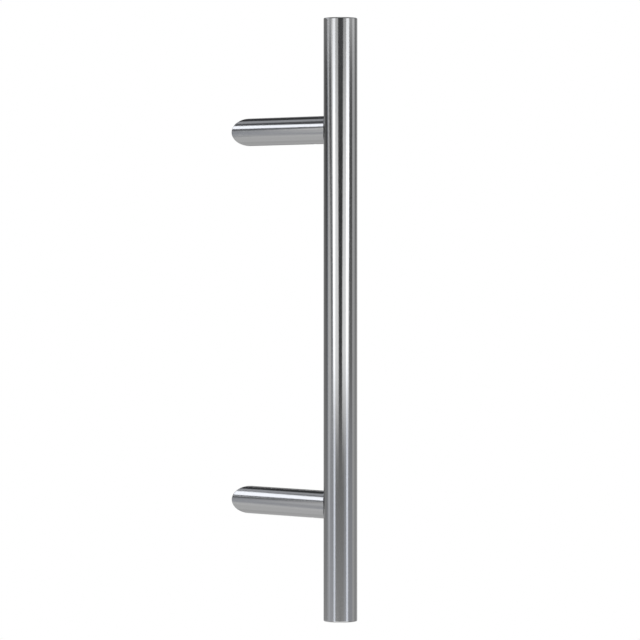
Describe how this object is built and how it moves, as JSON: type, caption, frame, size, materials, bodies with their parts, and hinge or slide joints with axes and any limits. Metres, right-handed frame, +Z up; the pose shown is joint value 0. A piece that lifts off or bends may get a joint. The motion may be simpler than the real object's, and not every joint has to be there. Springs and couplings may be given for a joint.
{
  "type": "door pull handle",
  "caption": "Straight round bar pull handle for a door, held off the door by two slanted round posts that bolt to its surface from behind.",
  "frame": {"origin": "on the door's surface, midway between the two threaded holes in the feet", "axes": "+Z up along the bar, +Y into the door, +X to the side that the bar is offset to"},
  "size_m": [0.1138, 0.0992, 0.537],
  "materials": {
    "satin_stainless_bar": "satin, brushed round the bar",
    "satin_stainless_cap": "satin, turned in fine circles, with a rounded rim",
    "satin_stainless_post": "satin, brushed round the post",
    "turned_steel": "as turned",
    "socket_screw_steel": "plain socket screw",
    "gasket_rubber": "matt black"
  },
  "bodies": {
    "root": {"grip_tube": "satin_stainless_bar", "top_end_cap": "satin_stainless_cap", "bottom_end_cap": "satin_stainless_cap", "upper_post": "satin_stainless_post", "lower_post": "satin_stainless_post", "upper_anchor_slug": "turned_steel", "lower_anchor_slug": "turned_steel", "upper_spigot_stud": "turned_steel", "lower_spigot_stud": "turned_steel", "upper_grub_screw": "socket_screw_steel", "lower_grub_screw": "socket_screw_steel", "upper_foot_gasket": "gasket_rubber", "lower_foot_gasket": "gasket_rubber"}
  },
  "joints": []
}
